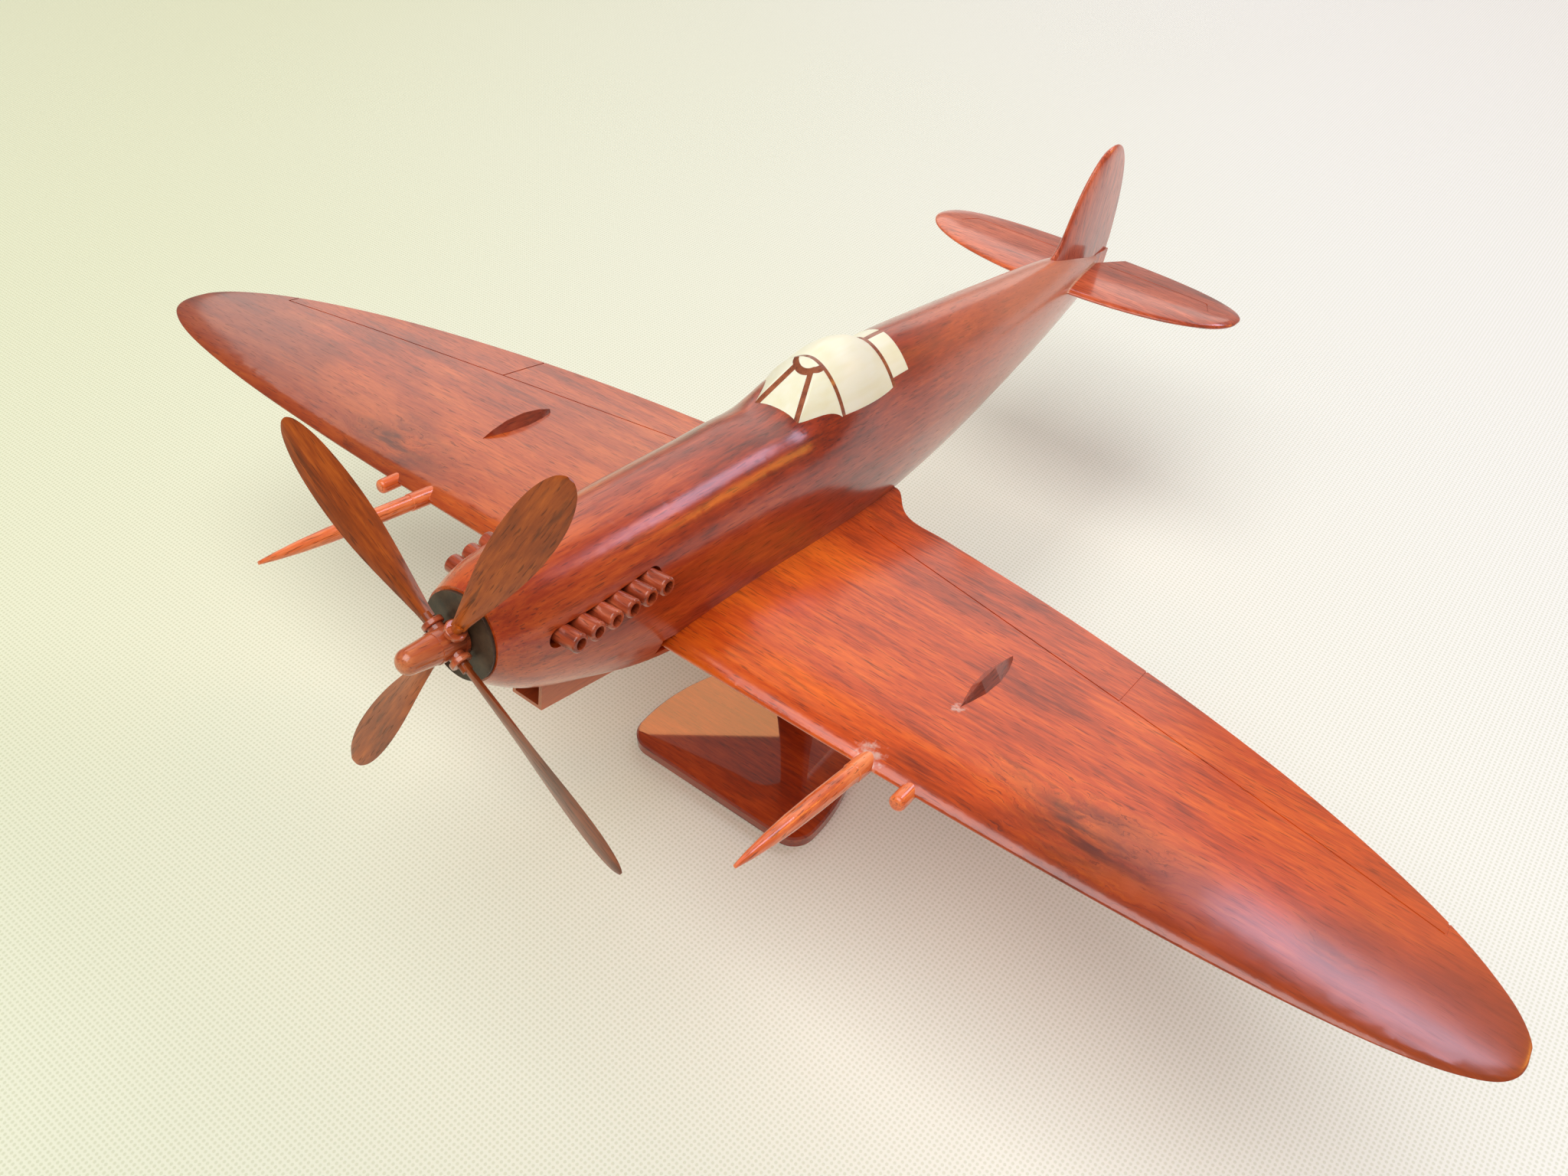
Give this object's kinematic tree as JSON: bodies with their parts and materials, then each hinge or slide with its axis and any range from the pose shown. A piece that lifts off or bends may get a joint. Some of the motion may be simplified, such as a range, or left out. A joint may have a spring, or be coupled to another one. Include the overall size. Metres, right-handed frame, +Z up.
{
  "type": "wooden desk model aircraft on a stand",
  "caption": "Carved and lacquered rosewood desk model of a single-engine low-wing monoplane with a four-blade propeller, on a wooden post and base.",
  "frame": {"origin": "on the flat underside of the base plate, in its middle between the long sides and 36.6 mm behind its front edge", "axes": "+Z up from the table, -Y towards the nose, +X towards the port (left) wing tip; the wing plane is pitched 11 degrees nose-up"},
  "size_m": [0.4698, 0.3706, 0.2156],
  "materials": {
    "aircraft_rosewood": "gloss lacquer over oiled rosewood",
    "blade_rosewood": "satin lacquer over rosewood",
    "stand_rosewood": "high gloss lacquer over rosewood",
    "canopy_lightwood": "gloss lacquer over pale cream wood",
    "canopy_strip_wood": "gloss lacquer over dark wood strip",
    "nose_plate_black": "satin black",
    "screw_steel": "zinc plated"
  },
  "bodies": {
    "stand": {"base_plate": "stand_rosewood", "post_screw": "screw_steel", "stand_post": "stand_rosewood", "stand_peg": "stand_rosewood"},
    "aircraft": {"blister_port": "aircraft_rosewood", "blister_starboard": "aircraft_rosewood", "cannon_barrel_port": "aircraft_rosewood", "cannon_barrel_starboard": "aircraft_rosewood", "cannon_root_port": "aircraft_rosewood", "cannon_root_starboard": "aircraft_rosewood", "canopy_front_arch": "canopy_strip_wood", "canopy_hood": "canopy_lightwood", "canopy_lens": "canopy_lightwood", "canopy_lens_strip": "canopy_strip_wood", "canopy_rear_arch": "canopy_strip_wood", "canopy_screen_front": "canopy_lightwood", "canopy_screen_side_port": "canopy_lightwood", "canopy_screen_side_starboard": "canopy_lightwood", "canopy_strut_port": "canopy_strip_wood", "canopy_strut_starboard": "canopy_strip_wood", "canopy_window_bar": "canopy_strip_wood", "canopy_window_port": "canopy_lightwood", "canopy_window_starboard": "canopy_lightwood", "exhaust_port_1": "aircraft_rosewood", "exhaust_port_2": "aircraft_rosewood", "exhaust_port_3": "aircraft_rosewood", "exhaust_port_4": "aircraft_rosewood", "exhaust_port_5": "aircraft_rosewood", "exhaust_port_6": "aircraft_rosewood", "exhaust_starboard_1": "aircraft_rosewood", "exhaust_starboard_2": "aircraft_rosewood", "exhaust_starboard_3": "aircraft_rosewood", "exhaust_starboard_4": "aircraft_rosewood", "exhaust_starboard_5": "aircraft_rosewood", "exhaust_starboard_6": "aircraft_rosewood", "fin": "aircraft_rosewood", "fuselage": "aircraft_rosewood", "gun_stub_port": "aircraft_rosewood", "gun_stub_starboard": "aircraft_rosewood", "intake_duct": "aircraft_rosewood", "nose_plate": "nose_plate_black", "tailplane_port": "aircraft_rosewood", "tailplane_starboard": "aircraft_rosewood", "wing_port": "aircraft_rosewood", "wing_starboard": "aircraft_rosewood"},
    "propeller": {"blade_a": "blade_rosewood", "blade_b": "blade_rosewood", "blade_c": "blade_rosewood", "blade_d": "blade_rosewood", "blade_ring_a": "aircraft_rosewood", "blade_ring_b": "aircraft_rosewood", "blade_ring_c": "aircraft_rosewood", "blade_ring_d": "aircraft_rosewood", "nose_bullet": "aircraft_rosewood", "propeller_boss": "aircraft_rosewood", "propeller_hub": "aircraft_rosewood", "propeller_shaft": "aircraft_rosewood"}
  },
  "joints": [
    {"name": "aircraft_lift", "type": "slide", "parent": "stand", "child": "aircraft", "axis": [0, 0.1908, 0.9816], "range_m": [0, 0.02]},
    {"name": "propeller_spin", "type": "hinge", "parent": "aircraft", "child": "propeller", "pos_m": [0, -0.1264, 0.1596], "axis": [0, 0.9655, -0.2605], "continuous": true}
  ]
}
